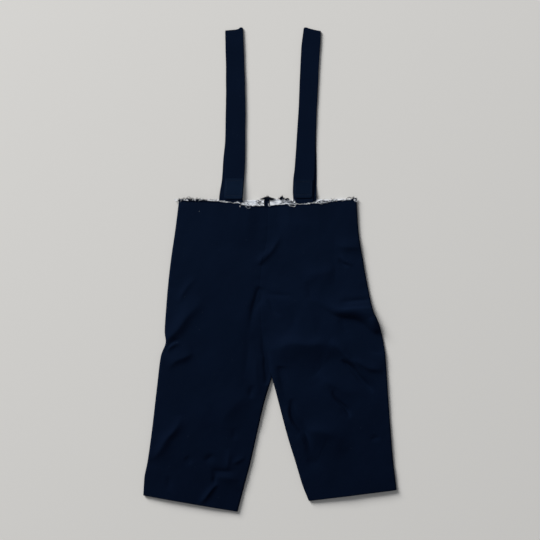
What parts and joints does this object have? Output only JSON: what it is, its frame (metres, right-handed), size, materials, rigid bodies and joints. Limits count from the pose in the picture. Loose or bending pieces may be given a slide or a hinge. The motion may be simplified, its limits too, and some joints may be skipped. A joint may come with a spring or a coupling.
{
  "type": "cropped costume trousers with shoulder straps",
  "caption": "Child's dark cropped trousers with self-cloth shoulder straps and a raw, frayed waist, laid out flat with the front up.",
  "frame": {"origin": "on the surface under the middle of the laid-out garment's bounding box", "axes": "+Y runs up the garment from the hems to the straps, +Z away from the surface it lies on, and +X to the wearer's left, which is the viewer's right from above"},
  "size_m": [0.3796, 0.7242, 0.0119],
  "materials": {
    "suiting": "matte navy-black twill suiting",
    "suiting_turned": "the same suiting doubled and pressed at the strap ends, slightly lighter",
    "white_cotton": "matte white plain-weave cotton interlining and its frayed thread"
  },
  "bodies": {
    "root": {"front_right": "suiting", "front_left": "suiting", "back_right": "suiting", "back_left": "suiting", "strap_right": "suiting", "strap_left": "suiting", "strap_end_right": "suiting_turned", "strap_end_left": "suiting_turned", "interlining_right": "white_cotton", "interlining_left": "white_cotton", "fray_right": "white_cotton", "fray_left": "white_cotton", "back_seam_allowance": "suiting"}
  },
  "joints": []
}
